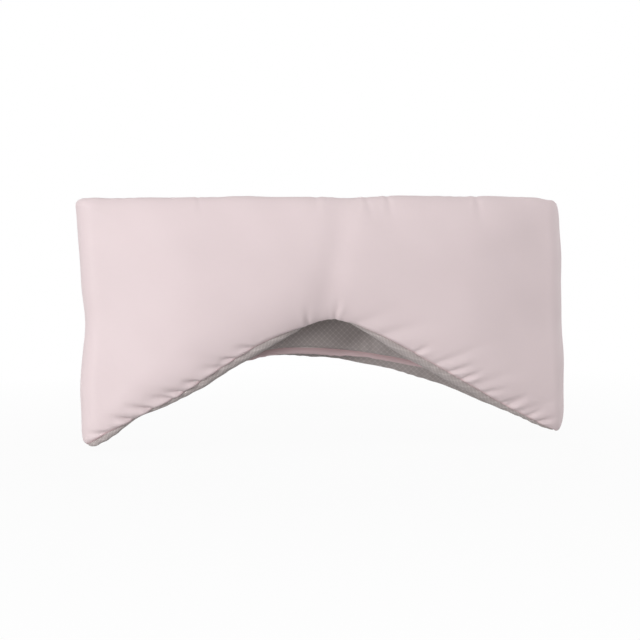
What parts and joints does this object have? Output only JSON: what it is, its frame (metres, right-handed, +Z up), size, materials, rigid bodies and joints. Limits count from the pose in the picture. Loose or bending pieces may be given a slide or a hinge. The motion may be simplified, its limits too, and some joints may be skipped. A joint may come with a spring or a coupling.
{
  "type": "wrap-around sleep mask",
  "caption": "Wide padded sleep mask that wraps round the head: pale satin outside, grey dotted lining, nose arch in front, and overlapping wings that close at the back with hook and loop tape.",
  "frame": {"origin": "middle of the head opening, midway between the two side folds and in their plane, at the height of the nose arch's apex", "axes": "+Z up towards the upper edge, the front faces -Y, +X to the right seen from the front"},
  "size_m": [0.24, 0.0578, 0.12],
  "materials": {
    "satin": "pale pink satin, soft sheen",
    "lining": "grey knit with a fine diagonal dot, matt",
    "wadding": "white fibre wadding",
    "thread": "pink sewing thread",
    "loop_tape": "soft looped pile, pink",
    "hook_tape": "stiff moulded hooks, pink"
  },
  "bodies": {
    "front": {"front_cover": "satin", "front_wadding": "wadding", "front_lining": "lining", "front_upper_seam_thread": "thread", "front_lower_seam_thread": "thread"},
    "left_side": {"left_side_cover": "satin", "left_side_wadding": "wadding", "left_side_lining": "lining", "left_side_upper_seam_thread": "thread", "left_side_lower_seam_thread": "thread"},
    "left_wing": {"left_wing_cover": "satin", "left_wing_wadding": "wadding", "left_wing_lining": "lining", "left_wing_seam_thread": "thread", "loop_tape": "loop_tape", "loop_tape_stitching": "thread"},
    "right_side": {"right_side_cover": "satin", "right_side_wadding": "wadding", "right_side_lining": "lining", "right_side_upper_seam_thread": "thread", "right_side_lower_seam_thread": "thread"},
    "right_wing": {"right_wing_cover": "satin", "right_wing_wadding": "wadding", "right_wing_lining": "lining", "right_wing_seam_thread": "thread", "hook_tape": "hook_tape", "hook_tape_stitching": "thread"}
  },
  "joints": [
    {"name": "right_side_fold", "type": "hinge", "parent": "front", "child": "right_side", "pos_m": [0.11669, -0.00844, 0], "axis": [0, 0, -1], "range_deg": [0, 82.5]},
    {"name": "right_wing_fold", "type": "hinge", "parent": "right_side", "child": "right_wing", "pos_m": [0.11862, 0.00552, 0], "axis": [0, 0, -1], "range_deg": [0, 82.5]},
    {"name": "left_side_fold", "type": "hinge", "parent": "front", "child": "left_side", "pos_m": [-0.11669, -0.00844, 0], "axis": [0, 0, 1], "range_deg": [0, 24.75]},
    {"name": "left_wing_fold", "type": "hinge", "parent": "left_side", "child": "left_wing", "pos_m": [-0.11862, 0.00552, 0], "axis": [0, 0, 1], "range_deg": [0, 24.75]}
  ],
  "couplings": [
    {"joint": "right_wing_fold", "follows": "right_side_fold", "ratio": 1},
    {"joint": "left_side_fold", "follows": "right_side_fold", "ratio": 0.3},
    {"joint": "left_wing_fold", "follows": "right_side_fold", "ratio": 0.3}
  ]
}
